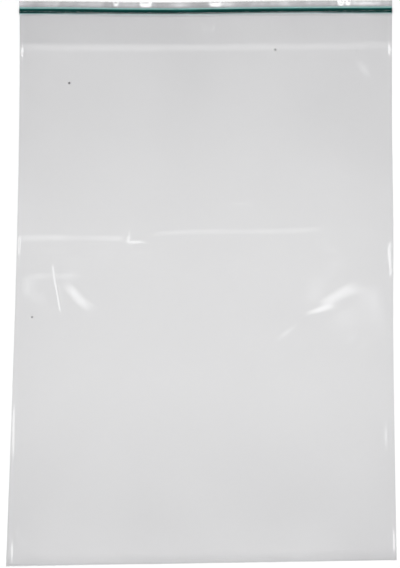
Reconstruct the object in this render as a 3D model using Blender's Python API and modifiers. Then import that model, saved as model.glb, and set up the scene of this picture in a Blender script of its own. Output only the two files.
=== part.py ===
"""A resealable bag of clear film, lying closed and flat on its back panel.

One thin sheet is folded at the bottom and welded along both sides, so the bag is a
pouch that is open between its two lips. A little below the lips a coloured
press-to-close pair runs across the bag: a groove strip on the back film and a rib
strip on the front film, snapped together. X runs across the bag, Y from the folded
bottom to the mouth and Z up. The origin is the middle of the bag, on the surface
that it lies on. All sizes are in metres.
"""

import math

import bmesh
import bpy

OBJECT_NAME = "zipper_bag"

# The bag and its film
BAG_WIDTH = 0.200
BAG_HEIGHT = 0.300
FILM = 0.00005

# The side welds: width, what the melted edge adds outside the film, and the gap that the weld fills
WELD_WIDTH = 0.002
WELD_BEAD = 0.0001
SEAM_GAP = 0.00004

# The lips above the strips: their height, and how far the middle of the mouth stands open
LIP_HEIGHT = 0.0037
LIP_GAP = 0.0008

# The strips: height along Y, web thickness, and how far their ends reach past the film
STRIP_HEIGHT = 0.0025
STRIP_WEB = 0.0002
STRIP_REACH = 0.0002

# The round channel of the groove strip and the room that the rib keeps in it
CHANNEL_RADIUS = 0.00042
CHANNEL_WALL = 0.0002
CHANNEL_MOUTH = math.radians(80)
STRIP_PLAY = 0.00007

# The gaps that keep the strips clear of the film: over and under them, and beside them
SEAT_GAP = 0.00005
SIDE_CLEARANCE = 0.0003

# How the front film comes down from the strips: where the bend ends in the middle of the bag,
# the length of the slope beside a weld, and the width over which one turns into the other
BEND_BELOW_TOP = 0.0246
SLOPE_AT_WELD = 0.003
SLOPE_SPREAD = 0.015

# The air left in the pouch, and how far from the sides, the bottom and the strips it takes to rise
BILLOW = 0.003
SIDE_RISE = 0.045
BOTTOM_RISE = 0.060
TOP_RISE = 0.090
WELD_CLEARANCE = 0.0002

# Steps of the sheet: along each stretch of its height, round the fold and across its width
LIP_STEPS, STRIP_STEPS, SLOPE_STEPS, BEND_STEPS, BODY_STEPS = 4, 1, 5, 6, 30
FOLD_STEPS = 6
BACK_STEPS = 4
SIDE_STEPS, MIDDLE_STEPS = 6, 10

# Straight steps that stand for a half turn of a strip's round parts
ROUND_STEPS = 12

# Sizes that follow
HALF_FILM_WIDTH = BAG_WIDTH / 2 - WELD_BEAD
TOP = BAG_HEIGHT / 2
FOLD_RADIUS = (SEAM_GAP + FILM) / 2
CHANNEL_CENTRE = STRIP_WEB + CHANNEL_RADIUS
CHANNEL_TOP = CHANNEL_CENTRE + (CHANNEL_RADIUS + CHANNEL_WALL) * math.cos(CHANNEL_MOUTH / 2)
RIB_WEB_BOTTOM = CHANNEL_TOP + STRIP_PLAY
STRIPS_TALL = RIB_WEB_BOTTOM + STRIP_WEB
STRIP_FLOOR = FILM + SEAT_GAP
FILM_OVER_STRIPS = STRIPS_TALL + 2 * SEAT_GAP
STRIPS_START = LIP_HEIGHT - SIDE_CLEARANCE
STRIPS_END = LIP_HEIGHT + STRIP_HEIGHT + SIDE_CLEARANCE
SLOPE_IN_MIDDLE = BEND_BELOW_TOP - STRIPS_END
STRIP_Y = TOP - LIP_HEIGHT - STRIP_HEIGHT / 2


def clear_scene():
    for old in list(bpy.data.objects):
        bpy.data.objects.remove(old, do_unlink=True)


def ease(t):
    """0 before 0 and 1 after 1, level at both ends."""
    t = min(max(t, 0.0), 1.0)
    return t * t * (3 - 2 * t)


def dome(t):
    """0 before 0 and 1 after 1, steep at first and level at the end."""
    t = min(max(t, 0.0), 1.0)
    return t * (2 - t)


def steps(*stretches):
    """The positions reached by walking each stretch, given as (its end, its steps), from 0."""
    found = [0.0]
    for end, count in stretches:
        start = found[-1]
        found += [start + (end - start) * i / count for i in range(1, count + 1)]
    return found


def slope_end(spread):
    """How far below the top edge the front film has come down from the strips."""
    return STRIPS_END + SLOPE_AT_WELD + (SLOPE_IN_MIDDLE - SLOPE_AT_WELD) * spread


def film_gap(x, below):
    """The gap between the two films, at x and at a distance below the top edge.

    The strips hold the films apart. Above them the lips close toward the welds. Below
    them the front film slopes down, and the air in the pouch lifts it a little.
    """
    inside = HALF_FILM_WIDTH - WELD_WIDTH - WELD_CLEARANCE - abs(x)
    spread = ease(inside / SLOPE_SPREAD)
    if below < STRIPS_START:
        edge = SEAM_GAP + (LIP_GAP - SEAM_GAP) * spread
        return FILM_OVER_STRIPS + (edge - FILM_OVER_STRIPS) * ease(1 - below / STRIPS_START)
    past = max(below - STRIPS_END, 0.0)
    come_down = ease(past / (slope_end(spread) - STRIPS_END))
    held = SEAM_GAP + (FILM_OVER_STRIPS - SEAM_GAP) * (1 - come_down)
    above_fold = BAG_HEIGHT - FOLD_RADIUS - FILM / 2 - below
    air = BILLOW * dome(inside / SIDE_RISE) * dome(above_fold / BOTTOM_RISE)
    return held + air * ease(past / TOP_RISE)


def front_line(x, start, end):
    """The middle of the front film at x, from start to end below the top edge, as (y, z)."""
    fold_start = BAG_HEIGHT - FOLD_RADIUS - FILM / 2
    rows = steps(
        (STRIPS_START, LIP_STEPS),
        (STRIPS_END, STRIP_STEPS),
        (STRIPS_END + SLOPE_AT_WELD, SLOPE_STEPS),
        (BEND_BELOW_TOP, BEND_STEPS),
        (fold_start, BODY_STEPS),
    )
    # a row belongs to the stretch although adding up its steps rounds it a little
    kept = [row for row in rows if start - FILM / 10 < row < end + FILM / 10]
    return [(TOP - row, FILM * 1.5 + film_gap(x, row)) for row in kept]


def fold_line():
    """The half turn at the bottom, between the front film and the back film, as (y, z)."""
    middle = -TOP + FOLD_RADIUS + FILM / 2
    turns = [math.pi * i / FOLD_STEPS for i in range(1, FOLD_STEPS + 1)]
    height = FILM / 2 + FOLD_RADIUS
    return [(middle - FOLD_RADIUS * math.sin(a), height + FOLD_RADIUS * math.cos(a)) for a in turns]


def back_line():
    """The middle of the back film above the fold, as (y, z)."""
    start = -TOP + FOLD_RADIUS + FILM / 2
    rows = [start + (TOP - start) * i / BACK_STEPS for i in range(1, BACK_STEPS + 1)]
    return [(row, FILM / 2) for row in rows]


def sheet_line(x):
    """The middle of the folded sheet at x, from the front lip round to the back lip."""
    return front_line(x, 0.0, BAG_HEIGHT) + fold_line() + back_line()


def shortened(line):
    """The line without a fifth of its first step, so that no two end faces share a plane."""
    (y0, z0), (y1, z1) = line[:2]
    return [(y0 + (y1 - y0) / 5, z0 + (z1 - z0) / 5)] + line[1:]


def folded_sheet():
    """An open surface: a flat grid whose rows follow the folded sheet."""
    flat_side = WELD_WIDTH + WELD_CLEARANCE
    across = steps(
        (flat_side, 1),
        (flat_side + SIDE_RISE, SIDE_STEPS),
        (2 * HALF_FILM_WIDTH - flat_side - SIDE_RISE, MIDDLE_STEPS),
        (2 * HALF_FILM_WIDTH - flat_side, SIDE_STEPS),
        (2 * HALF_FILM_WIDTH, 1),
    )
    lines = [sheet_line(distance - HALF_FILM_WIDTH) for distance in across]
    columns, rows = len(lines), len(lines[0])
    sheet = bmesh.new()
    bmesh.ops.create_grid(sheet, x_segments=columns - 1, y_segments=rows - 1, size=1.0)
    for point in sheet.verts:
        column = round((point.co.x + 1) / 2 * (columns - 1))
        row = round((1 - point.co.y) / 2 * (rows - 1))
        y, z = lines[column][row]
        point.co = (across[column] - HALF_FILM_WIDTH, y, z)
    mesh = bpy.data.meshes.new("folded_sheet")
    sheet.to_mesh(mesh)
    sheet.free()
    mesh.shade_smooth()
    return mesh


def extruded_outline(name, outline, start, end):
    """A curve object: an outline of (y, z) points drawn out along X from start to end."""
    curve = bpy.data.curves.new(name, "CURVE")
    curve.dimensions = "2D"
    curve.fill_mode = "BOTH"
    curve.extrude = (end - start) / 2
    spline = curve.splines.new("POLY")
    spline.points.add(len(outline) - 1)
    for point, (y, z) in zip(spline.points, outline):
        point.co = (y, z, 0.0, 1.0)
    spline.use_cyclic_u = True
    placed = bpy.data.objects.new(name, curve)
    # this turn sends the outline's own X, Y and Z to the bag's Y, Z and X
    placed.rotation_euler = (math.pi / 2, 0.0, math.pi / 2)
    placed.location.x = (start + end) / 2
    return placed


def as_mesh_object(curve_object, collection):
    """The curve object as one closed mesh object, which a Boolean can join."""
    collection.objects.link(curve_object)
    evaluated = curve_object.evaluated_get(bpy.context.evaluated_depsgraph_get())
    mesh = bpy.data.meshes.new_from_object(evaluated)
    solid = bmesh.new()
    solid.from_mesh(mesh)
    bmesh.ops.remove_doubles(solid, verts=solid.verts, dist=FILM / 100)
    bmesh.ops.recalc_face_normals(solid, faces=solid.faces)
    solid.to_mesh(mesh)
    solid.free()
    made = bpy.data.objects.new(curve_object.name, mesh)
    made.matrix_world = curve_object.matrix_world.copy()
    bpy.data.objects.remove(curve_object, do_unlink=True)
    collection.objects.link(made)
    return made


def weld_outlines(x):
    """The two stretches of a side weld, below and above the strips, filling the sheet's own section."""
    below = shortened(front_line(x, STRIPS_END, BAG_HEIGHT))
    below += fold_line() + [(below[0][0], FILM / 2)]
    above = shortened(shortened(front_line(x, 0.0, STRIPS_START))[::-1])
    above += [(above[-1][0], FILM / 2), (above[0][0], FILM / 2)]
    return {"below_strips": below, "above_strips": above}


def add_side_welds(film, helpers):
    """Joins the two films along both sides, except where the strips run through."""
    inner, outer = HALF_FILM_WIDTH - WELD_WIDTH, BAG_WIDTH / 2
    for side, start, end in (("left", -outer, -inner), ("right", inner, outer)):
        for stretch, outline in weld_outlines(outer).items():
            name = f"weld_{side}_{stretch}"
            weld = as_mesh_object(extruded_outline(name, outline, start, end), helpers)
            weld.hide_render = True
            weld.display_type = "WIRE"
            join = film.modifiers.new(name, "BOOLEAN")
            join.operation = "UNION"
            join.solver = "EXACT"
            join.object = weld


def bag_film(collection, helpers):
    """The folded, welded pouch with its two lips: one piece of film."""
    film = bpy.data.objects.new("bag_film", folded_sheet())
    thicken = film.modifiers.new("film_thickness", "SOLIDIFY")
    thicken.thickness = FILM
    thicken.offset = 0.0
    thicken.use_even_offset = True
    add_side_welds(film, helpers)
    collection.objects.link(film)
    return film


def arc(radius, start, end, height):
    """Points on a circle round the middle of a strip, from one angle to another, as (y, z)."""
    count = max(2, math.ceil(abs(end - start) / math.pi * ROUND_STEPS))
    angles = [start + (end - start) * i / count for i in range(count + 1)]
    return [(radius * math.cos(a), height + radius * math.sin(a)) for a in angles]


def groove_outline():
    """A flat web with a round channel on it that is open at the top."""
    half = STRIP_HEIGHT / 2
    outer = CHANNEL_RADIUS + CHANNEL_WALL
    jaw = math.pi / 2 - CHANNEL_MOUTH / 2
    foot = -math.asin(CHANNEL_RADIUS / outer)
    right_jaw = arc(outer, foot, jaw, CHANNEL_CENTRE)
    channel = arc(CHANNEL_RADIUS, jaw, -math.pi - jaw, CHANNEL_CENTRE)
    left_jaw = arc(outer, math.pi - jaw, math.pi - foot, CHANNEL_CENTRE)
    web = [(-half, STRIP_WEB), (-half, 0.0), (half, 0.0), (half, STRIP_WEB)]
    return right_jaw + channel + left_jaw + web


def rib_outline():
    """A flat web with a stem and a round head hanging from it into the channel."""
    half = STRIP_HEIGHT / 2
    head = CHANNEL_RADIUS - STRIP_PLAY
    stem = CHANNEL_RADIUS * math.sin(CHANNEL_MOUTH / 2) - STRIP_PLAY
    neck = math.acos(stem / head)
    round_head = arc(head, math.pi - neck, 2 * math.pi + neck, CHANNEL_CENTRE)
    web = [(half, RIB_WEB_BOTTOM), (half, STRIPS_TALL), (-half, STRIPS_TALL), (-half, RIB_WEB_BOTTOM)]
    return [(-stem, RIB_WEB_BOTTOM)] + round_head + [(stem, RIB_WEB_BOTTOM)] + web


def zip_strip(name, outline, collection):
    """One strip of the press-to-close pair, running the full width of the bag."""
    reach = HALF_FILM_WIDTH + WELD_BEAD + STRIP_REACH
    strip = extruded_outline(name, outline, -reach, reach)
    strip.location.y = STRIP_Y
    strip.location.z = STRIP_FLOOR
    collection.objects.link(strip)
    return strip


def material(name, colour, roughness, alpha=1.0):
    made = bpy.data.materials.new(name)
    made.use_nodes = True
    surface = made.node_tree.nodes["Principled BSDF"]
    surface.inputs["Base Color"].default_value = (*colour, 1.0)
    surface.inputs["Roughness"].default_value = roughness
    surface.inputs["Metallic"].default_value = 0.0
    surface.inputs["Alpha"].default_value = alpha
    return made


def main():
    clear_scene()
    parts = bpy.data.collections.new(OBJECT_NAME)
    helpers = bpy.data.collections.new(OBJECT_NAME + "_joined_pieces")
    bpy.context.scene.collection.children.link(parts)
    bpy.context.scene.collection.children.link(helpers)
    film = bag_film(parts, helpers)
    groove = zip_strip("zip_groove_strip", groove_outline(), parts)
    rib = zip_strip("zip_rib_strip", rib_outline(), parts)
    film.data.materials.append(material("clear_film", (0.86, 0.88, 0.90), 0.12, 0.30))
    green = material("green_strip", (0.004, 0.075, 0.068), 0.35)
    for strip in (groove, rib):
        strip.data.materials.append(green)


main()
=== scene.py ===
"""The looks of a clear resealable film bag that lies closed and flat on its back panel.

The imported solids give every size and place. The film is made again as thin closed
shells on fine grids, so that it can show its creases, its crinkled lips and the soft
drape over the strips. Lengths are metres. On the bag, x runs across it and "below"
is the distance below the top edge of the lips.
"""

import math

import bpy
import numpy as np
from mathutils import Matrix, Vector


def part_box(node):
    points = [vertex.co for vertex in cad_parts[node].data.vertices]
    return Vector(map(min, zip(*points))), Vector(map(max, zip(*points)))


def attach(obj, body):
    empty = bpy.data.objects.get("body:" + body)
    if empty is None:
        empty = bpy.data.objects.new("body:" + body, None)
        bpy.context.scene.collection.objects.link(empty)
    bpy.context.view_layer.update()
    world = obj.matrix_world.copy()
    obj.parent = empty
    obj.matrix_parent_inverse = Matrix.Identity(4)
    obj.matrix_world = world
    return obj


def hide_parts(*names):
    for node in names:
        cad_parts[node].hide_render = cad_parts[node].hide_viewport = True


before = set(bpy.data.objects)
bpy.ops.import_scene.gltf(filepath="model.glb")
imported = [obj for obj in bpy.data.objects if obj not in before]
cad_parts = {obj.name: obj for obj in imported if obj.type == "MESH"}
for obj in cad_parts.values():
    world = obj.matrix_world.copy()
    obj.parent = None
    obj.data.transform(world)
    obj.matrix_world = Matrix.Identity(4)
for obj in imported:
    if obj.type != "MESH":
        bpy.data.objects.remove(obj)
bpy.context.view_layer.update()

MM = 0.001

# Sizes read from the solids
FILM_LOW, FILM_HIGH = (np.array(corner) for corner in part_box("bag_film"))
RIB_LOW, RIB_HIGH = (np.array(corner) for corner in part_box("zip_rib_strip"))
GROOVE_LOW, GROOVE_HIGH = (np.array(corner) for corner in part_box("zip_groove_strip"))
HALF_WIDTH = FILM_HIGH[0]
HALF_HEIGHT = (FILM_HIGH[1] - FILM_LOW[1]) / 2
HEIGHT = 2 * HALF_HEIGHT
CREST = FILM_HIGH[2]
ZIP_START = HALF_HEIGHT - RIB_HIGH[1]
ZIP_END = HALF_HEIGHT - RIB_LOW[1]
ZIP_TOP = RIB_HIGH[2]

# The film
FILM = 0.05 * MM
SEAM = 0.04 * MM
WELD = 2.0 * MM
FOLD_RADIUS = 0.10 * MM
OVER_ZIP = 0.06 * MM
PRESSED = 2 * FILM + SEAM


def soft_step(t):
    """0 before 0 and 1 after 1, level at both ends."""
    t = np.clip(t, 0.0, 1.0)
    return t * t * (3 - 2 * t)


def rise(t):
    """0 before 0 and 1 after 1, steep at first and level at the end."""
    t = np.clip(t, 0.0, 1.0)
    return t * (2 - t)


def stations(*stretches):
    """Positions reached by walking each stretch from 0, each given as (its end, the length of a step)."""
    found = [np.zeros(1)]
    for end, step in stretches:
        start = found[-1][-1]
        count = max(1, round((end - start) / step))
        found.append(start + (end - start) * np.arange(1, count + 1) / count)
    return np.concatenate(found)


def waves(x, below, seed, count, shortest, longest, across=1.0):
    """A sum of plane waves of seeded direction, length and phase, from about -1 to 1.

    across turns the directions: 1 is any way, and a smaller number keeps them near x.
    """
    random = np.random.default_rng(seed)
    total = np.zeros(np.broadcast(x, below).shape)
    for _ in range(count):
        angle = random.uniform(-1, 1) * math.pi / 2 * across
        number = 2 * math.pi / random.uniform(shortest, longest)
        phase = random.uniform(0, 2 * math.pi)
        total += np.cos(number * (x * math.cos(angle) + below * math.sin(angle)) + phase)
    return total / math.sqrt(count)


def along_line(x, below, points):
    """Each place's signed distance from a smooth line through the points, and how far along it lies, 0 to 1.

    The distance is positive on the left, as the line is walked. How far along is measured on the straight
    way between the two end points.
    """
    points = np.array(points) * MM
    number = np.arange(len(points))
    fine = np.linspace(0, len(points) - 1, 5 * (len(points) - 1) + 1)
    eased = np.stack([np.interp(fine, number, column) for column in points.T], -1)
    for _ in range(2):
        eased[1:-1] = (eased[:-2] + 2 * eased[1:-1] + eased[2:]) / 4
        eased[2:-2] = (eased[:-4] + 2 * eased[2:-2] + eased[4:]) / 4
    nearest = np.full(np.broadcast(x, below).shape, np.inf)
    signed = np.zeros(nearest.shape)
    for start, step in zip(eased, np.diff(eased, axis=0)):
        length = math.hypot(*step)
        way = step / length
        dx, db = x - start[0], below - start[1]
        at = np.clip(dx * way[0] + db * way[1], 0.0, length)
        away = np.hypot(dx - at * way[0], db - at * way[1])
        side = np.sign(dx * way[1] - db * way[0])
        closer = away < nearest
        nearest = np.where(closer, away, nearest)
        signed = np.where(closer, away * side, signed)
    chord = points[-1] - points[0]
    share = ((x - points[0][0]) * chord[0] + (below - points[0][1]) * chord[1]) / (chord @ chord)
    return signed, np.clip(share, 0.0, 1.0)


def fold(points, height, face, tail, ends=(0.3, 0.3), grow=0.0, steepen=0.0, dip=0.5):
    """The numbers of one fold, as fold_mark takes them."""
    return {
        "points": points,
        "height": height,
        "face": face,
        "tail": tail,
        "ends": ends,
        "grow": grow,
        "steepen": steepen,
        "dip": dip,
    }


def fold_mark(x, below, points, height, face, tail, ends, grow, steepen, dip):
    """A fold in the film: a smooth face that climbs from a dip to a crest, with a long tail behind each.

    The line is the middle of the face, whose slope catches the light. The face's slope is as 1 - u^4 for u
    from -1 to 1 across it, so it is nearly even, and each tail is half a bell. Walking along the line, the
    face looks left. Dip is the share of the height that lies under the film's own level. Along the line all
    the sizes grow by one share, the height by another besides, and the ends thin out over their shares.
    """
    signed, share = along_line(x, below, points)
    size = 1 + grow * share
    away = signed / MM / size + 0.5 * face
    t = np.clip(away / face, 0.0, 1.0)
    climbed = (t - ((2 * t - 1) ** 5 + 1) / 10) / 0.8
    crest = np.exp(-((np.minimum(away, 0.0) / tail) ** 2))
    foot = np.exp(-((np.maximum(away - face, 0.0) / tail) ** 2))
    profile = (1 - dip) * crest * (1 - climbed) - dip * foot * climbed
    present = soft_step(share / ends[0]) * soft_step((1 - share) / ends[1])
    return height * MM * size * (1 + steepen * share) * profile * present


# How the strips hold the front film up: the film starts to fall at HOLD_START under them. By the sides it
# is down after HOLD_SHOULDER. Farther in than HOLD_SIDE, HOLD_GENTLE of the height takes HOLD_REACH instead.
HOLD_START = 0.15 * MM
HOLD_SHOULDER = 1.1 * MM
HOLD_REACH = 18.5 * MM
HOLD_SIDE = 42 * MM
HOLD_GENTLE = 0.7


def strips_hold(x, below):
    """How far the strips hold the front film up: in full over them, then down to the bend line.

    Just under the strips it drops a little, and near the sides by nearly all of it.
    """
    inside = HALF_WIDTH - WELD - np.abs(x)
    gentle = HOLD_GENTLE * soft_step(inside / HOLD_SIDE)
    past = below - ZIP_END - HOLD_START
    shoulder = 1 - soft_step(past / HOLD_SHOULDER)
    slope = 1 - soft_step(past / HOLD_REACH)
    return (ZIP_TOP + OVER_ZIP + FILM - PRESSED) * ((1 - gentle) * shoulder + gentle * slope)


# Folds of the front film. A line is a list of (x, below) in millimetres, and so are the height and the
# widths of the face and of a tail. The others are shares: of the line over which its two ends fade, of
# how much it grows and steepens along the line, and of the height that lies under the film's level.
FOLD_MARKS = (
    # the fold across the middle: its right half and its end
    fold(
        [(-37, 130.0), (-30, 128.9), (-24, 127.3), (0, 126.7), (40, 127.2), (54, 126.5), (72, 124.6)],
        height=0.42, face=4.6, tail=9.0, ends=(0.12, 0.14), steepen=-0.1,
    ),
    fold(
        [(69, 128.0), (74, 125.9), (80, 124.8), (92, 124.8)],
        height=0.22, face=3.8, tail=8.0, ends=(0.4, 0.5),
    ),
    # the pinch between the halves
    fold(
        [(-43.2, 121.3), (-40.6, 125.0), (-39.5, 127.7), (-39.3, 132.4)],
        height=0.42, face=2.6, tail=4.0, ends=(0.4, 0.3),
    ),
    fold(
        [(-42.5, 132.8), (-37.3, 132.0), (-31.9, 132.0), (-24, 134.0)],
        height=0.4, face=2.4, tail=4.0, ends=(0.15, 0.6),
    ),
    # lesser folds under it
    fold(
        [(-76, 137.6), (-60, 137.7), (-46, 137.3), (-30, 137.9), (-14, 137.5)],
        height=0.44, face=4.4, tail=8.0, ends=(0.2, 0.3),
    ),
    fold(
        [(-100, 149.6), (-80, 149.8), (-66, 149.9), (-48, 149.4)],
        height=0.33, face=4.8, tail=9.0, ends=(0.05, 0.6),
    ),
    fold(
        [(3, 112.4), (14.7, 111.4), (24, 112.6), (36, 112.0)],
        height=0.27, face=3.4, tail=8.0, ends=(0.4, 0.4),
    ),
    # the patch on the left
    fold(
        [(-53, 170.6), (-57.5, 168.2), (-62.0, 166.0), (-65.8, 162.6), (-69, 158.6), (-73, 154.6),
         (-79, 151.4)],
        height=0.66, face=6.4, tail=12.0, ends=(0.4, 0.4),
    ),
    fold(
        [(-79, 162.6), (-88, 161.6), (-98, 161.2)],
        height=0.42, face=8.0, tail=8.0, ends=(0.35, 0.3),
    ),
    fold(
        [(-53.0, 161.0), (-54.8, 165.4), (-57.4, 167.8)],
        height=0.18, face=2.6, tail=5.0, ends=(0.5, 0.5),
    ),
    # the streak on the right: a fold toward the side, a finer one under it, and a wide soft one over both
    fold(
        [(54.5, 170.0), (62.3, 166.3), (68.2, 163.0), (74.5, 159.2), (80.4, 156.8), (86, 155.0), (92, 153)],
        height=0.64, face=6.6, tail=9.0, ends=(0.3, 0.45), grow=0.8, steepen=-0.1,
    ),
    fold(
        [(51.5, 171.5), (57.2, 170.4), (62.3, 169.2), (72, 167.4), (82, 166.2)],
        height=0.44, face=3.1, tail=8.0, ends=(0.12, 0.6), grow=0.8, steepen=-0.3, dip=0.3,
    ),
    fold(
        [(53, 171), (62, 166), (70, 161.4), (78, 157.2), (86, 153.0), (96, 150.4)],
        height=0.28, face=4.0, tail=7.0, ends=(0.35, 0.5), grow=2.4, steepen=-0.6,
    ),
    fold(
        [(32, 192), (42, 182), (48.2, 177.5), (55, 173.5)],
        height=0.66, face=5.0, tail=12.0, ends=(0.5, 0.4),
    ),
    # small marks on the right
    fold(
        [(58, 138.9), (64.9, 137.6), (68.1, 137.0), (78, 138)],
        height=0.36, face=4.6, tail=8.0, ends=(0.45, 0.45),
    ),
    fold(
        [(79.6, 189.6), (81.1, 186.3), (82.2, 183.0)],
        height=0.38, face=1.8, tail=3.0, ends=(0.4, 0.4),
    ),
    fold(
        [(79, 31), (85.2, 38), (91, 45)],
        height=0.32, face=4.6, tail=8.0, ends=(0.5, 0.5),
    ),
    fold(
        [(87, 118.8), (92.9, 117.4), (99, 116.9)],
        height=0.22, face=2.6, tail=5.0, ends=(0.5, 0.2),
    ),
)

# Sharp or short marks that keep their height close to the welds, in the same terms, with no dip
SHARP_MARKS = (
    # the bend line under the strips, and the left half of the fold across the middle
    fold(
        [(-100, 25.5), (-60, 25.6), (0, 25.4), (50, 25.3), (97, 25.1), (100, 24.6)],
        height=0.22, face=5.6, tail=3.5, ends=(0.01, 0.01),
    ),
    fold(
        [(-100, 129.4), (-86, 129.1), (-70, 129.6), (-54, 129.7), (-37, 130.6)],
        height=0.32, face=4.8, tail=6.0, ends=(0.03, 0.1), steepen=0.8,
    ),
    # the scored line on the left
    fold(
        [(-75.7, 169.4), (-77.5, 160.5), (-79.3, 151.5), (-80.9, 142.6)],
        height=0.19, face=1.3, tail=1.2, ends=(0.08, 0.14),
    ),
    # puckers along the side welds
    fold(
        [(98.8, 131.6), (97.7, 135.7), (97.5, 139), (98.3, 143.8), (99.2, 152)],
        height=0.25, face=2.2, tail=2.4, ends=(0.2, 0.15),
    ),
    fold(
        [(-98.4, 246), (-98.8, 238), (-99.0, 231), (-99.2, 222), (-99.4, 214)],
        height=0.18, face=1.4, tail=2.4, ends=(0.2, 0.2),
    ),
    fold(
        [(95.5, 230), (95.2, 236), (95.6, 242)],
        height=0.16, face=1.6, tail=3.0, ends=(0.4, 0.4),
    ),
    # the corners at the bottom
    fold(
        [(-96.9, 299.7), (-97.1, 293), (-97.3, 286)],
        height=0.21, face=1.1, tail=1.6, ends=(0.05, 0.2),
    ),
    fold(
        [(98.6, 283), (98.9, 290), (99.1, 297)],
        height=0.16, face=1.1, tail=1.6, ends=(0.2, 0.2),
    ),
    fold(
        [(-94.6, 291), (-94.7, 285), (-95.0, 279)],
        height=0.12, face=1.6, tail=3.0, ends=(0.4, 0.5),
    ),
    fold(
        [(-91.4, 291), (-91.6, 284), (-91.9, 278)],
        height=0.13, face=1.6, tail=3.0, ends=(0.4, 0.5),
    ),
)


# The seam's inner edge, past the weld, and the air in the pouch: its height as a share of what the CAD
# has room for, and how far from the sides, the bottom and the strips it reaches its full height
SEAM_EDGE = WELD + 0.2 * MM
AIR_SHARE = 0.50
AIR_FROM_SIDE = 80 * MM
AIR_FROM_BOTTOM = 100 * MM
AIR_FROM_STRIPS = 90 * MM


def air_below(x, below):
    """The low rise of the front film over the air in the pouch, level with the seam at its edges."""
    inside = HALF_WIDTH - SEAM_EDGE - np.abs(x)
    past = below - ZIP_END
    left = HEIGHT - 2 * FOLD_RADIUS - below
    across = rise(inside / AIR_FROM_SIDE)
    along = rise(left / AIR_FROM_BOTTOM) * soft_step(past / AIR_FROM_STRIPS)
    return (CREST - PRESSED) * AIR_SHARE * across * along


# The pressed mark: its middle, its half widths, its height, and the groove's half width and depth
MARK_X, MARK_BELOW = 1.3 * MM, 14.4 * MM
MARK_WIDE, MARK_TALL = 3.4 * MM, 2.6 * MM
MARK_HEIGHT = 0.29 * MM
GROOVE_WIDE, GROOVE_DEPTH = 0.9 * MM, 0.5


def mark_in_middle(x, below):
    """A faint pressed mark between the strips and the bend line: a low bump with a groove down it."""
    dx, db = x - MARK_X, below - MARK_BELOW
    bump = np.exp(-((dx / MARK_WIDE) ** 4) - (db / MARK_TALL) ** 2)
    groove = np.exp(-((dx / GROOVE_WIDE) ** 2))
    return MARK_HEIGHT * bump * (1 - GROOVE_DEPTH * groove)


# How far from a side the film is held flat, and how far it then takes to be loose, for folds and for
# sharp marks
SIDE_FLAT = 0.6 * MM
FOLDS_LOOSE = 12 * MM
SHARP_LOOSE = 2 * MM
# How far from the strips and from the bottom the film takes to be loose
STRIPS_LOOSE, BOTTOM_LOOSE = 4 * MM, 2 * MM
# The low ridge along the seam's inner edge
RIDGE_HEIGHT, RIDGE_WIDE = 0.035 * MM, 0.6 * MM
# The drape: heights of its long and its short waves
LONG_DRAPE, SHORT_DRAPE = 0.03 * MM, 0.006 * MM


def front_height(x, below):
    """The front film's upper face above the surface that the bag lies on.

    It sums what the strips hold up, the air, the folds with the drape, the sharp marks and the ridge.
    """
    beside = HALF_WIDTH - np.abs(x)
    open_below = soft_step((below - ZIP_END) / STRIPS_LOOSE) * soft_step((HEIGHT - below) / BOTTOM_LOOSE)
    folds = sum(fold_mark(x, below, **mark) for mark in FOLD_MARKS) + mark_in_middle(x, below)
    drape = LONG_DRAPE * waves(x, below, 11, 9, 45 * MM, 110 * MM)
    drape += SHORT_DRAPE * waves(x, below, 12, 9, 9 * MM, 22 * MM)
    sharp = sum(fold_mark(x, below, **{**mark, "dip": 0.0}) for mark in SHARP_MARKS)
    loose = soft_step((beside - SIDE_FLAT) / FOLDS_LOOSE) * (folds + drape)
    loose = loose + rise((beside - SIDE_FLAT) / SHARP_LOOSE) * sharp
    loose = loose + RIDGE_HEIGHT * np.exp(-(((beside - SEAM_EDGE) / RIDGE_WIDE) ** 2))
    height = PRESSED + strips_hold(x, below) + air_below(x, below) + loose * open_below
    return np.clip(height, PRESSED, CREST)


# How the bag lies askew, in millimetres: the shift of each corner, left then right
TOP_SHIFT_X, TOP_SHIFT_Y = (0.95, 0.86), (-0.44, 0.34)
BOTTOM_SHIFT_X, BOTTOM_SHIFT_Y = (-0.70, -0.75), (-1.75, 1.83)
# How far its sides pull in or out along their length, in millimetres: the left one inward, high up, and the
# right one outward, but for a place about 0.42 of the way down
LEFT_PULL, LEFT_PULL_HIGH = 1.7, 0.75
RIGHT_PULL = -0.9
RIGHT_DENT, RIGHT_DENT_AT, RIGHT_DENT_WIDE = 0.6, 0.42, 0.13
# How far its top sags, in millimetres: everywhere, and more left of the middle, fading below the strips
SAG, MORE_SAG, MORE_SAG_AT, MORE_SAG_WIDE = 0.15, 0.95, -22, 48
SAG_FADES = 20 * MM
LOWER_BOTTOM = 0.2


def between(ends, share):
    return ends[0] + (ends[1] - ends[0]) * share


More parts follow.
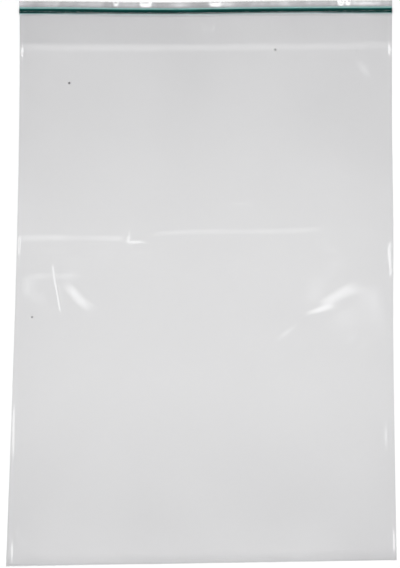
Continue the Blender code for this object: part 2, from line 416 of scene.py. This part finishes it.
def lie(x, below):
    """Where a place on the flat bag lies: the bag is a little askew, its sides pull in and its top sags."""
    u, v = (x + HALF_WIDTH) / (2 * HALF_WIDTH), below / HEIGHT
    shift_x = between(TOP_SHIFT_X, u) * (1 - v) + between(BOTTOM_SHIFT_X, u) * v
    shift_y = between(TOP_SHIFT_Y, u) * (1 - v) + between(BOTTOM_SHIFT_Y, u) * v
    left_pull = LEFT_PULL * np.sin(math.pi * np.clip(v, 0, 1) ** LEFT_PULL_HIGH)
    dent = RIGHT_DENT * np.exp(-(((v - RIGHT_DENT_AT) / RIGHT_DENT_WIDE) ** 2))
    right_pull = RIGHT_PULL * np.sin(math.pi * v) + dent
    pull = np.where(x < 0, left_pull, right_pull)
    shift_x = shift_x + pull * np.abs(x) / HALF_WIDTH
    sag = SAG + MORE_SAG * np.exp(-(((x / MM - MORE_SAG_AT) / MORE_SAG_WIDE) ** 2))
    shift_y = shift_y - sag * np.exp(-np.maximum(below, 0.0) / SAG_FADES) - LOWER_BOTTOM * v
    return x + shift_x * MM, HALF_HEIGHT - below + shift_y * MM


# Where the front lip dips toward its free edge and so catches the light: x, half width and depth, all in mm
LIP_DIPS = (
    (-48.2, 1.3, 0.20),
    (-32.6, 2.4, 0.21),
    (-30.2, 1.0, 0.15),
    (5.2, 3.0, 0.18),
    (72.6, 1.4, 0.26),
    (76.4, 1.2, 0.24),
    (86.0, 8.5, 0.07),
)
# How far its whole free edge drops, in mm, and the heights of its short and its long crinkles
LIP_DROP = 0.12
SHORT_CRINKLE, LONG_CRINKLE = 0.022 * MM, 0.06 * MM
# The crinkles run mostly down the lip, so their waves are drawn out that way
CRINKLE_DRAWN = 0.6
# The back lip lifts by this, times its crinkle
BACK_LIP_LIFT = 0.10 * MM


def front_lip_height(x, below):
    """The front lip's upper face: level from the strips to a crinkled free edge, with dips in places."""
    free = np.clip(1 - below / (ZIP_START - 0.1 * MM), 0.0, 1.0)
    dips = sum(depth * np.exp(-(((x / MM - at) / half) ** 4)) for at, half, depth in LIP_DIPS)
    drop = (LIP_DROP + dips) * MM * soft_step(free)
    crinkle = waves(x, below * CRINKLE_DRAWN, 21, 10, 3.5 * MM, 9 * MM, 0.35) * SHORT_CRINKLE
    crinkle += waves(x, below * CRINKLE_DRAWN, 22, 8, 12 * MM, 40 * MM, 0.2) * LONG_CRINKLE
    top = ZIP_TOP + OVER_ZIP + FILM - drop + crinkle * free
    return np.maximum(top, PRESSED + 0.05 * MM)


def back_height(x, below):
    """The back film's upper face: flat on the surface, its lip lifting a little at the free edge."""
    free = soft_step(1 - below / ZIP_START)
    crinkle = 0.5 + 0.5 * waves(x, below, 31, 9, 5 * MM, 16 * MM, 0.3)
    return FILM + BACK_LIP_LIFT * free * np.clip(crinkle, 0.0, 2.0)


# The film's haze, and painted shade. ONE_LEVEL is what darkens the film by one level of 255 in the render.
# The film has LEAST_HAZE, and from there painted shade darkens it by these many levels toward the top, the
# bottom and the sides.
LEAST_HAZE = 0.009
ONE_LEVEL = 0.0016
TOP_LEVELS, BOTTOM_LEVELS, SIDE_LEVELS = 15, 8.5, 4.5
# How far those reach, in millimetres: from the top, from the sides, and down from BOTTOM_FROM
TOP_REACH, SIDE_REACH = 150, 60
BOTTOM_FROM, BOTTOM_REACH = 200, 90
# Painted shade above the bend line, more there on the left, just under the strips and at the fold; haze and
# painted shade on the lips
BAND_PAINTED_SHADE, LEFT_BAND_PAINTED_SHADE = 0.006, 0.008
UNDER_STRIPS_PAINTED_SHADE = 0.006
LIPS_HAZE_AND_SHADE = 0.084
FOLD_PAINTED_SHADE = 0.035
# Where these begin and end, in millimetres below the top edge, and over how far they fade
STRIPS_FROM, STRIPS_TO = 3.3, 6.4
STRIPS_FROM_FADE, STRIPS_TO_FADE = 0.6, 0.5
SHADE_FROM, SHADE_FADE = 7.5, 4.0
BEND_FROM, BEND_FADE = 22.0, 6.5
FOLD_FROM, FOLD_FADE = 298.9, 0.6


def film_haze_and_shade(x, below):
    """The share of the light that each face of the film scatters, over and above what it mirrors, with
    painted shade.

    It is least in the middle of the bag, and painted shade raises it toward the top, the bottom and the
    sides, in the band above the bend line, under the strips and at the fold. The lips are hazier and carry
    painted shade besides. Over the strips, where the film is drawn tight, it has none.
    """
    inside = (HALF_WIDTH - np.abs(x)) / MM
    down = below / MM
    # painted shade: the film darkens toward the top, the bottom and the sides
    levels = TOP_LEVELS * (1 - soft_step(down / TOP_REACH))
    levels = levels + BOTTOM_LEVELS * soft_step((down - BOTTOM_FROM) / BOTTOM_REACH)
    levels = levels + SIDE_LEVELS * (1 - rise(inside / SIDE_REACH))
    past_lips = soft_step((down - STRIPS_FROM) / STRIPS_FROM_FADE)
    past_strips = soft_step((down - STRIPS_TO) / STRIPS_TO_FADE)
    tight = past_lips * (1 - past_strips)
    # painted shade on the band above the bend line, more on the left
    left = 1 - soft_step(x / (120 * MM) + 0.75)
    band = (BAND_PAINTED_SHADE + LEFT_BAND_PAINTED_SHADE * left) * (1 - soft_step((down - BEND_FROM) / BEND_FADE))
    # painted shade just under the strips
    under_strips = UNDER_STRIPS_PAINTED_SHADE * past_strips * (1 - soft_step((down - SHADE_FROM) / SHADE_FADE))
    # painted shade along the fold at the bottom
    edge = FOLD_PAINTED_SHADE * soft_step((down - FOLD_FROM) / FOLD_FADE)
    open_film = (LEAST_HAZE + ONE_LEVEL * levels + band + under_strips) * (1 - tight)
    # the lips add their haze and painted shade
    return open_film + LIPS_HAZE_AND_SHADE * (1 - past_lips) + edge


def shell_mesh(name, outer, thickness, haze_and_shade):
    """A thin closed shell from a grid of points: the grid, a copy moved in along its normals, and a rim."""
    rows, columns = outer.shape[:2]
    along, across = np.gradient(outer, axis=0), np.gradient(outer, axis=1)
    normal = np.cross(along, across)
    normal /= np.linalg.norm(normal, axis=2, keepdims=True)
    points = np.concatenate([outer.reshape(-1, 3), (outer - normal * thickness).reshape(-1, 3)])
    index = np.arange(rows * columns).reshape(rows, columns)
    top = np.stack([index[:-1, :-1], index[1:, :-1], index[1:, 1:], index[:-1, 1:]], -1).reshape(-1, 4)
    bottom = top[:, ::-1] + rows * columns
    ring = np.concatenate([index[0, :], index[1:, -1], index[-1, -2::-1], index[-2:0:-1, 0]])
    after = np.roll(ring, -1)
    rim = np.stack([ring, after, after + rows * columns, ring + rows * columns], -1)
    mesh = mesh_from(name, points, np.concatenate([top, bottom, rim]))
    mesh.set_sharp_from_angle(angle=math.radians(50))
    # the film's haze and painted shade, kept on the points for the material
    keep = mesh.attributes.new("haze_and_shade", "FLOAT", "POINT")
    keep.data.foreach_set("value", np.tile(haze_and_shade.ravel(), 2).astype(np.float32))
    return mesh


def mesh_from(name, points, quads):
    mesh = bpy.data.meshes.new(name)
    mesh.vertices.add(len(points))
    mesh.vertices.foreach_set("co", points.astype(np.float32).ravel())
    mesh.loops.add(quads.size)
    mesh.loops.foreach_set("vertex_index", quads.astype(np.int32).ravel())
    mesh.polygons.add(len(quads))
    mesh.polygons.foreach_set("loop_start", np.arange(0, quads.size, 4, dtype=np.int32))
    mesh.polygons.foreach_set("loop_total", np.full(len(quads), 4, np.int32))
    mesh.update(calc_edges=True)
    mesh.validate()
    mesh.shade_smooth()
    return mesh


def tube_mesh(name, rings):
    """A closed tube from rings of points along it: rings is (places, points round, 3), with flat ends."""
    places, around = rings.shape[:2]
    index = np.arange(places * around).reshape(places, around)
    after = np.roll(index, -1, axis=1)
    sides = np.stack([index[:-1], after[:-1], after[1:], index[1:]], -1).reshape(-1, 4)
    points = rings.reshape(-1, 3)
    caps = []
    for ring, flip in ((index[0], True), (index[-1], False)):
        half = around // 2
        a, b = ring[: half], ring[::-1][: half]
        quads = np.stack([a[:-1], a[1:], b[1:], b[:-1]], -1)
        caps.append(quads if flip else quads[:, ::-1])
    return mesh_from(name, points, np.concatenate([sides, *caps]))


def add_piece(name, mesh, node, material):
    piece = bpy.data.objects.new(name, mesh)
    bpy.context.scene.collection.objects.link(piece)
    piece.data.materials.append(material)
    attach(piece, "root")
    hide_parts(node)
    return piece


def node(tree, kind, **settings):
    made = tree.nodes.new(kind)
    for key, value in settings.items():
        setattr(made, key, value)
    return made


def maths(tree, operation, first, second=None, clamp=False):
    made = node(tree, "ShaderNodeMath", operation=operation, use_clamp=clamp)
    for socket, value in zip(made.inputs, (first, second)):
        if value is None:
            continue
        if isinstance(value, (int, float)):
            socket.default_value = value
        else:
            tree.links.new(value, socket)
    return made.outputs[0]


def noise(tree, vector, scale, detail=2.0, roughness=0.5):
    """Noise over x and y, the same through the thickness."""
    made = node(tree, "ShaderNodeTexNoise", noise_dimensions="2D")
    made.inputs["Scale"].default_value = scale
    made.inputs["Detail"].default_value = detail
    made.inputs["Roughness"].default_value = roughness
    tree.links.new(vector, made.inputs["Vector"])
    return made.outputs["Fac"]


def mapped(tree, value, low, high, to_low, to_high):
    made = node(tree, "ShaderNodeMapRange")
    made.inputs["From Min"].default_value = low
    made.inputs["From Max"].default_value = high
    made.inputs["To Min"].default_value = to_low
    made.inputs["To Max"].default_value = to_high
    tree.links.new(value, made.inputs["Value"])
    return made.outputs["Result"]


def film_surface_group():
    """Film grain: Haze is a soft cloudiness, Gloss a slow change of roughness, and Height an orange peel."""
    group = bpy.data.node_groups.new("film_grain", "ShaderNodeTree")
    group.interface.new_socket("Vector", in_out="INPUT", socket_type="NodeSocketVector")
    group.interface.new_socket("Haze", in_out="OUTPUT", socket_type="NodeSocketFloat")
    group.interface.new_socket("Gloss", in_out="OUTPUT", socket_type="NodeSocketFloat")
    group.interface.new_socket("Height", in_out="OUTPUT", socket_type="NodeSocketFloat")
    entry, exit_ = node(group, "NodeGroupInput"), node(group, "NodeGroupOutput")
    cloud = noise(group, entry.outputs["Vector"], 22.0, 1.0)
    group.links.new(mapped(group, cloud, 0.3, 0.7, 0.0, 1.0), exit_.inputs["Haze"])
    group.links.new(mapped(group, cloud, 0.3, 0.7, 1.0, 0.0), exit_.inputs["Gloss"])
    # the film was drawn along the bag, so its orange peel is longer that way
    drawn = node(group, "ShaderNodeMapping")
    drawn.inputs["Scale"].default_value = (260.0, 90.0, 1.0)
    group.links.new(entry.outputs["Vector"], drawn.inputs["Vector"])
    group.links.new(noise(group, drawn.outputs["Vector"], 1.0, 0.0), exit_.inputs["Height"])
    return group


def attribute(tree, name):
    return node(tree, "ShaderNodeAttribute", attribute_name=name).outputs["Fac"]


def mirrored_share(tree):
    """How much a face of clear plastic mirrors: 4% square on and all at a grazing view, on both sides."""
    facing = node(tree, "ShaderNodeLayerWeight")
    facing.inputs["Blend"].default_value = 0.5
    return mapped(tree, maths(tree, "POWER", facing.outputs["Facing"], 5.0), 0.0, 1.0, 0.04, 1.0)


# The colours of the film's haze and painted shade, and of dust
HAZE_AND_SHADE_COLOUR = (0.15, 0.14, 0.21, 1.0)
DUST_COLOUR = (0.02, 0.015, 0.01, 1.0)
# How the film's faces mirror: strongly, because Alpha then scales it down
FILM_IOR = 3.4
FILM_ROUGHNESS = (0.06, 0.10)
# Below this haze the film's own colour fades to black, so that clear film scatters no light
CLEAR_HAZE = 0.006


def film_material(name, grain, specks):
    """Clear film. Alpha is what each face stops: the mesh's haze and painted shade, broken up, and what the
    face mirrors.
    """
    material = bpy.data.materials.new(name)
    material.use_nodes = True
    tree = material.node_tree
    surface = tree.nodes["Principled BSDF"]
    place = node(tree, "ShaderNodeTexCoord")
    film = node(tree, "ShaderNodeGroup", node_tree=grain)
    tree.links.new(place.outputs["Object"], film.inputs["Vector"])
    broken = mapped(tree, film.outputs["Haze"], 0.0, 1.0, 0.93, 1.07)
    # the film's haze with its painted shade
    haze_and_shade = maths(tree, "MULTIPLY", attribute(tree, "haze_and_shade"), broken)
    alpha = maths(tree, "ADD", haze_and_shade, mirrored_share(tree), clamp=True)
    dust = node(tree, "ShaderNodeGroup", node_tree=specks)
    tree.links.new(place.outputs["Object"], dust.inputs["Vector"])
    alpha = maths(tree, "MAXIMUM", alpha, dust.outputs["Mask"])
    tree.links.new(alpha, surface.inputs["Alpha"])
    roughness = mapped(tree, film.outputs["Gloss"], 0.0, 1.0, *FILM_ROUGHNESS)
    tree.links.new(roughness, surface.inputs["Roughness"])
    bump = node(tree, "ShaderNodeBump")
    bump.inputs["Strength"].default_value = 0.03
    bump.inputs["Distance"].default_value = 0.00002
    tree.links.new(film.outputs["Height"], bump.inputs["Height"])
    tree.links.new(bump.outputs["Normal"], surface.inputs["Normal"])
    colour = node(tree, "ShaderNodeMix", data_type="RGBA")
    colour.inputs["A"].default_value = HAZE_AND_SHADE_COLOUR
    colour.inputs["B"].default_value = DUST_COLOUR
    tree.links.new(dust.outputs["Mask"], colour.inputs["Factor"])
    veil = node(tree, "ShaderNodeVectorMath", operation="SCALE")
    tree.links.new(colour.outputs["Result"], veil.inputs[0])
    tree.links.new(mapped(tree, attribute(tree, "haze_and_shade"), 0.0, CLEAR_HAZE, 0.0, 1.0), veil.inputs["Scale"])
    tree.links.new(veil.outputs["Vector"], surface.inputs["Base Color"])
    surface.inputs["IOR"].default_value = FILM_IOR
    surface.inputs["Specular IOR Level"].default_value = 1.0
    return material


# Dust under the film: x, y and radius in millimetres, and how much light it stops
SPECKS = (
    (-71.6, 104.1, 0.40, 0.50),
    (38.2, 122.9, 0.42, 0.46),
    (-89.4, -22.4, 0.45, 0.20),
    (-19.5, 31.4, 0.28, 0.12),
    (-58.6, 7.1, 0.30, 0.08),
    (81.5, 122.4, 0.30, 0.12),
    (-35.3, 94.8, 0.28, 0.10),
    (20.0, 42.4, 0.28, 0.09),
)


def speck_group():
    """Dust: Mask is 1 within each speck's radius and falls to 0 just outside it."""
    group = bpy.data.node_groups.new("dust_specks", "ShaderNodeTree")
    group.interface.new_socket("Vector", in_out="INPUT", socket_type="NodeSocketVector")
    group.interface.new_socket("Mask", in_out="OUTPUT", socket_type="NodeSocketFloat")
    entry, exit_ = node(group, "NodeGroupInput"), node(group, "NodeGroupOutput")
    flat = node(group, "ShaderNodeVectorMath", operation="MULTIPLY")
    flat.inputs[1].default_value = (1.0, 1.0, 0.0)
    group.links.new(entry.outputs["Vector"], flat.inputs[0])
    mask = None
    for x, y, radius, dark in SPECKS:
        away = node(group, "ShaderNodeVectorMath", operation="DISTANCE")
        away.inputs[1].default_value = (x * MM, y * MM, 0.0)
        group.links.new(flat.outputs[0], away.inputs[0])
        spot = mapped(group, away.outputs["Value"], radius * MM, radius * 1.7 * MM, dark, 0.0)
        mask = spot if mask is None else maths(group, "MAXIMUM", mask, spot)
    group.links.new(mask, exit_.inputs["Mask"])
    return group


# The strip's green by how far across it a place is: its lower side dark with painted shade, its middle, and
# its upper side paler, partly its thinner edge and partly painted highlight
STRIP_GREENS_WITH_PAINTED_LIGHT = (
    (0.35, (0.0, 0.034, 0.029, 1.0)),
    (0.62, (0.002, 0.100, 0.088, 1.0)),
    (0.85, (0.050, 0.250, 0.225, 1.0)),
)


def colour_ramp(tree, stops):
    """A Color Ramp node with these (position, colour) stops."""
    ramp = node(tree, "ShaderNodeValToRGB")
    elements = ramp.color_ramp.elements
    for number, (position, colour) in enumerate(stops):
        stop = elements[number] if number < 2 else elements.new(position)
        stop.position = position
        stop.color = colour
    return ramp


def strip_material(name):
    """Dark green plastic with painted shade along its lower side and a paler upper side, partly its thinner
    edge and partly painted highlight, and fine drawn lines along the strip.
    """
    material = bpy.data.materials.new(name)
    material.use_nodes = True
    tree = material.node_tree
    surface = tree.nodes["Principled BSDF"]
    place = node(tree, "ShaderNodeTexCoord")
    shade = noise(tree, place.outputs["Object"], 60.0, 2.0)
    uneven = maths(tree, "ADD", attribute(tree, "across"), mapped(tree, shade, 0.3, 0.7, -0.08, 0.08))
    # the lower side's painted shade and the upper side's partly painted highlight
    ramp = colour_ramp(tree, STRIP_GREENS_WITH_PAINTED_LIGHT)
    tree.links.new(uneven, ramp.inputs["Fac"])
    tree.links.new(ramp.outputs["Color"], surface.inputs["Base Color"])
    lines = node(tree, "ShaderNodeMapping")
    lines.inputs["Scale"].default_value = (40.0, 3000.0, 3000.0)
    tree.links.new(place.outputs["Object"], lines.inputs["Vector"])
    ridges = noise(tree, lines.outputs["Vector"], 1.0, 1.0)
    bump = node(tree, "ShaderNodeBump")
    bump.inputs["Strength"].default_value = 0.3
    bump.inputs["Distance"].default_value = 0.00002
    tree.links.new(ridges, bump.inputs["Height"])
    tree.links.new(bump.outputs["Normal"], surface.inputs["Normal"])
    tree.links.new(mapped(tree, shade, 0.3, 0.7, 0.14, 0.22), surface.inputs["Roughness"])
    surface.inputs["Specular IOR Level"].default_value = 0.04
    return material


# The flanges' colours, of the lower and of the upper one, their pale blue-green lifted toward white as
# painted light against the strips' shadow, and how much light they stop
LOWER_FLANGE = (0.66, 1.0, 1.0, 1.0)
UPPER_FLANGE = (0.50, 0.98, 0.92, 1.0)
FLANGE_ALPHA = (0.42, 0.56)


def flange_material(name):
    """The thin edge of a strip: milky, pale blue-green with painted light against the strips' shadow, and
    half see-through, denser in slow patches.
    """
    material = bpy.data.materials.new(name)
    material.use_nodes = True
    tree = material.node_tree
    surface = tree.nodes["Principled BSDF"]
    place = node(tree, "ShaderNodeTexCoord")
    shade = noise(tree, place.outputs["Object"], 90.0, 2.0)
    # pale blue-green, partly lifted toward white as painted light against the strips' shadow
    mix = node(tree, "ShaderNodeMix", data_type="RGBA")
    tree.links.new(attribute(tree, "across"), mix.inputs["Factor"])
    mix.inputs["A"].default_value = LOWER_FLANGE
    mix.inputs["B"].default_value = UPPER_FLANGE
    tree.links.new(mix.outputs["Result"], surface.inputs["Base Color"])
    tree.links.new(mapped(tree, shade, 0.3, 0.7, *FLANGE_ALPHA), surface.inputs["Alpha"])
    tree.links.new(mapped(tree, shade, 0.3, 0.7, 0.35, 0.5), surface.inputs["Roughness"])
    bump = node(tree, "ShaderNodeBump")
    bump.inputs["Strength"].default_value = 0.15
    bump.inputs["Distance"].default_value = 0.00002
    tree.links.new(shade, bump.inputs["Height"])
    tree.links.new(bump.outputs["Normal"], surface.inputs["Normal"])
    return material


def grid(x, below):
    return np.meshgrid(x, below)


def laid(x, below, height):
    """Points of a surface given by its height over the flat bag, moved to where the bag lies."""
    place_x, place_y = lie(x, below)
    return np.stack([place_x, place_y, height], -1)


def across_bag(edge_step, middle_step, edge_zone=8 * MM):
    """Places across the bag, closer together near its sides."""
    full = 2 * HALF_WIDTH
    places = stations((edge_zone, edge_step), (full - edge_zone, middle_step), (full, edge_step))
    return places - HALF_WIDTH


# How far the front panel and the front lip overlap at the strips' upper side
OVERLAP = 0.3 * MM
# Over its last millimetres the front film settles to the fold
SETTLE = 6 * MM


def front_film(material):
    """The front panel from the strips' upper side down to the fold, and half round it.

    Its grid is finest at the bend line, at the folds, at the scored line and down the middle.
    """
    start = ZIP_START - OVERLAP
    end = HEIGHT - FOLD_RADIUS
    rows = start + stations(
        (30 * MM, 0.65 * MM),
        (106 * MM, 2.2 * MM),
        (188 * MM, 0.8 * MM),
        (end - start - 24 * MM, 3.2 * MM),
        (end - start - 2 * MM, 1.8 * MM),
        (end - start, 0.5 * MM),
    )
    score_left, score_right = HALF_WIDTH - 81 * MM, HALF_WIDTH - 73 * MM
    columns = stations(
        (5 * MM, 0.5 * MM),
        (score_left, 1.5 * MM),
        (score_right, 0.22 * MM),
        (HALF_WIDTH - 4 * MM, 1.5 * MM),
        (HALF_WIDTH + 7 * MM, 0.45 * MM),
        (HALF_WIDTH + 50 * MM, 1.5 * MM),
        (2 * HALF_WIDTH - 5 * MM, 1.4 * MM),
        (2 * HALF_WIDTH, 0.5 * MM),
    )
    x, below = grid(columns - HALF_WIDTH, rows)
    height = front_height(x, below)
    fold_top = 2 * FOLD_RADIUS
    settle = soft_step((below - (HEIGHT - SETTLE)) / SETTLE)
    height = height * (1 - settle) + np.maximum(fold_top, PRESSED) * settle
    points = laid(x, below, height)
    turns = np.linspace(0, math.pi, 9)[1:]
    bottom_x, bottom_y = lie(x[-1], below[-1])
    round_fold = np.stack(
        [
            np.broadcast_to(bottom_x, (len(turns), len(bottom_x))),
            bottom_y - FOLD_RADIUS * np.sin(turns)[:, None],
            np.broadcast_to(FOLD_RADIUS + FOLD_RADIUS * np.cos(turns)[:, None], (len(turns), len(bottom_x))),
        ],
        -1,
    )
    haze_and_shade = film_haze_and_shade(x, below)
    haze_and_shade = np.concatenate([haze_and_shade, np.repeat(haze_and_shade[-1:], len(turns), axis=0)])
    outer = np.concatenate([points, round_fold])
    mesh = shell_mesh("front_film", outer, FILM, haze_and_shade)
    return add_piece("front_film", mesh, "bag_film", material)


def front_lip(material):
    rows = stations((ZIP_START - OVERLAP, 0.28 * MM))
    x, below = grid(across_bag(0.5 * MM, 0.55 * MM), rows)
    points = laid(x, below, front_lip_height(x, below))
    mesh = shell_mesh("front_lip", points, FILM, film_haze_and_shade(x, below))
    return add_piece("front_lip", mesh, "bag_film", material)


def back_film(material):
    """The back panel and its lip: its lower face is the one that the bag lies on."""
    rows = stations((ZIP_START, 0.35 * MM), (HEIGHT - FOLD_RADIUS, 6 * MM))
    x, below = grid(across_bag(1.0 * MM, 1.0 * MM), rows)
    points = laid(x, below, back_height(x, below))
    mesh = shell_mesh("back_film", points, FILM, film_haze_and_shade(x, below))
    return add_piece("back_film", mesh, "bag_film", material)


def strip_rings(profile, low_y, high_y):
    """A cross-section of (across, height) points carried along the strips' line on the bag."""
    x = np.linspace(-HALF_WIDTH, HALF_WIDTH, 161)
    middle = HALF_HEIGHT - (low_y + high_y) / 2
    path_x, path_y = lie(x, np.full_like(x, middle))
    across, height = np.array(profile).T
    return np.stack(
        [
            np.broadcast_to(path_x[:, None], (len(x), len(across))),
            path_y[:, None] + across[None, :],
            np.broadcast_to(height[None, :], (len(x), len(across))),
        ],
        -1,
    )


def rounded_box(left, right, low, high, corner, steps=6):
    """The outline of a box with round corners, anticlockwise, corner being (its width, its height)."""
    wide, tall = corner
    turns = [math.pi / 2 * i / steps for i in range(steps + 1)]
    corners = (
        (right - wide, high - tall, 0.0),
        (left + wide, high - tall, math.pi / 2),
        (left + wide, low + tall, math.pi),
        (right - wide, low + tall, 3 * math.pi / 2),
    )
    return [
        (cx + wide * math.cos(turn + start), cy + tall * math.sin(turn + start))
        for cx, cy, start in corners
        for turn in turns
    ]


def strip_piece(name, node_name, outline, material):
    """One strip: the outline carried along it, with each point's share of the way across it as "across"."""
    low_y, high_y = RIB_LOW[1], RIB_HIGH[1]
    mesh = tube_mesh(name, strip_rings(outline, low_y, high_y))
    across = (np.array(outline)[:, 0] / (high_y - low_y) + 0.5).clip(0, 1)
    keep = mesh.attributes.new("across", "FLOAT", "POINT")
    keep.data.foreach_set("value", np.resize(across, len(mesh.vertices)).astype(np.float32))
    return add_piece(name, mesh, node_name, material)


def zip_strips(green, edge):
    half = (RIB_HIGH[1] - RIB_LOW[1]) / 2
    low, high = -half - 0.65 * MM, half - 0.60 * MM
    parting = GROOVE_HIGH[2] - 0.25 * MM
    rib = rounded_box(low, high, parting, RIB_HIGH[2], (0.75 * MM, 0.32 * MM))
    groove = rounded_box(low + 0.1 * MM, high, GROOVE_LOW[2], parting - 0.08 * MM, (0.3 * MM, 0.2 * MM))
    strip_piece("rib_strip", "zip_rib_strip", rib, green)
    strip_piece("groove_strip", "zip_groove_strip", groove, green)
    # thin see-through flanges stand out on both sides of the closed zip
    bottom, top = parting - 0.3 * MM, parting - 0.1 * MM
    lower = rounded_box(low - 0.45 * MM, low + 0.1 * MM, bottom, top, (0.1 * MM, 0.08 * MM))
    upper = rounded_box(high - 0.1 * MM, high + 0.95 * MM, bottom, top, (0.1 * MM, 0.08 * MM))
    strip_piece("lower_flange", "zip_groove_strip", lower, edge)
    strip_piece("upper_flange", "zip_groove_strip", upper, edge)


# The paper's colour, and how much brighter than lit paper the camera sees it
PAPER = (0.8, 0.8, 0.8, 1.0)
PAPER_LIFT = 0.25


def floor_material():
    """White paper. The camera sees it a little lifted toward white, and it keeps the bag's shadow."""
    material = bpy.data.materials.new("white_floor")
    material.use_nodes = True
    tree = material.node_tree
    surface = tree.nodes["Principled BSDF"]
    surface.inputs["Base Color"].default_value = PAPER
    surface.inputs["Roughness"].default_value = 0.9
    surface.inputs["Specular IOR Level"].default_value = 0.0
    path = node(tree, "ShaderNodeLightPath")
    surface.inputs["Emission Color"].default_value = (1.0, 1.0, 1.0, 1.0)
    lift = maths(tree, "MULTIPLY", path.outputs["Is Camera Ray"], PAPER_LIFT)
    tree.links.new(lift, surface.inputs["Emission Strength"])
    return material


def stage():
    side, low = 3.0, -1e-5
    corners = np.array([(-side, -side, low), (side, -side, low), (side, side, low), (-side, side, low)])
    floor = bpy.data.objects.new("floor", mesh_from("floor", corners, np.array([[0, 1, 2, 3]])))
    floor.data.materials.append(floor_material())
    bpy.context.scene.collection.objects.link(floor)


def softbox(name, place, size, radiance):
    """A rectangular lamp that looks at the bag. Its power is pi times its area times its brightness."""
    light = bpy.data.lights.new(name, "AREA")
    light.shape = "RECTANGLE"
    light.size, light.size_y = size
    light.energy = math.pi * size[0] * size[1] * radiance
    lamp = bpy.data.objects.new(name, light)
    lamp.location = place
    lamp.rotation_euler = (-Vector(place)).to_track_quat("-Z", "Y").to_euler()
    bpy.context.scene.collection.objects.link(lamp)


# The studio dome: brightness by the angle, in degrees, from the direction that the flat bag mirrors
DOME_TILT = math.radians(11)
DOME = (
    (0.0, 0.08),
    (8.8, 0.10),
    (13.0, 0.9),
    (17.0, 2.4),
    (21.0, 4.8),
    (25.0, 3.4),
    (30.0, 1.0),
    (45.0, 0.36),
    (90.0, 0.28),
)


def dome():
    """The world: dark where the flat film mirrors it, a bright ring round that, and a soft fall to the sides.

    The camera itself sees plain white.
    """
    world = bpy.data.worlds.new("studio_dome")
    world.use_nodes = True
    tree = world.node_tree
    background = tree.nodes["Background"]
    background.inputs["Color"].default_value = (1.0, 1.0, 1.0, 1.0)
    place = node(tree, "ShaderNodeTexCoord")
    dot = node(tree, "ShaderNodeVectorMath", operation="DOT_PRODUCT")
    tree.links.new(place.outputs["Generated"], dot.inputs[0])
    dot.inputs[1].default_value = (0.0, math.sin(DOME_TILT), math.cos(DOME_TILT))
    angle = maths(tree, "ARCCOSINE", dot.outputs["Value"])
    share = maths(tree, "DIVIDE", angle, math.pi / 2)
    brightest = max(value for _, value in DOME)
    greys = [(degrees / 90, (*[value / brightest] * 3, 1.0)) for degrees, value in DOME]
    ramp = colour_ramp(tree, greys)
    tree.links.new(share, ramp.inputs["Fac"])
    sides = node(tree, "ShaderNodeSeparateXYZ")
    tree.links.new(place.outputs["Generated"], sides.inputs[0])
    rear = mapped(tree, sides.outputs["Y"], -0.2, 0.3, 0.7, 1.0)
    light = maths(tree, "MULTIPLY", maths(tree, "MULTIPLY", ramp.outputs["Color"], brightest), rear)
    path = node(tree, "ShaderNodeLightPath")
    seen = node(tree, "ShaderNodeMix", data_type="FLOAT")
    tree.links.new(path.outputs["Is Camera Ray"], seen.inputs["Factor"])
    tree.links.new(light, seen.inputs["A"])
    seen.inputs["B"].default_value = 1.0
    tree.links.new(seen.outputs["Result"], background.inputs["Strength"])
    bpy.context.scene.world = world


# How bright the softboxes' faces are
SOFTBOX = 2.0


def lights():
    softbox("left_softbox", (-0.85, -0.45, 1.25), (0.6, 0.6), SOFTBOX)
    softbox("right_softbox", (0.85, -0.45, 1.25), (0.6, 0.6), SOFTBOX)
    softbox("front_softbox", (0.0, -0.8, 1.2), (0.8, 0.2), SOFTBOX)
    dome()


# The camera stands above the bag's lower half and looks down on it
CAMERA_PLACE = (-0.00176, -0.23009, 1.17863)
CAMERA_TILT = math.radians(10.83)
CAMERA_ROLL = math.radians(0.13)
FOCAL_PIXELS = 2292.0
FRAME_HEIGHT = 568
SENSOR_MM = 36.0


def camera():
    data = bpy.data.cameras.new("camera")
    data.sensor_fit = "VERTICAL"
    data.sensor_height = SENSOR_MM
    data.lens = FOCAL_PIXELS / FRAME_HEIGHT * SENSOR_MM
    eye = bpy.data.objects.new("camera", data)
    turn = Matrix.Rotation(CAMERA_TILT, 4, "X") @ Matrix.Rotation(CAMERA_ROLL, 4, "Z")
    eye.matrix_world = Matrix.Translation(CAMERA_PLACE) @ turn
    bpy.context.scene.collection.objects.link(eye)
    bpy.context.scene.camera = eye


def main():
    grain = film_surface_group()
    film = film_material("clear_film", grain, speck_group())
    front_film(film)
    front_lip(film)
    back_film(film)
    zip_strips(strip_material("green_strip"), flange_material("flange"))
    stage()
    lights()
    camera()
    bpy.context.scene.view_settings.view_transform = "Standard"


main()
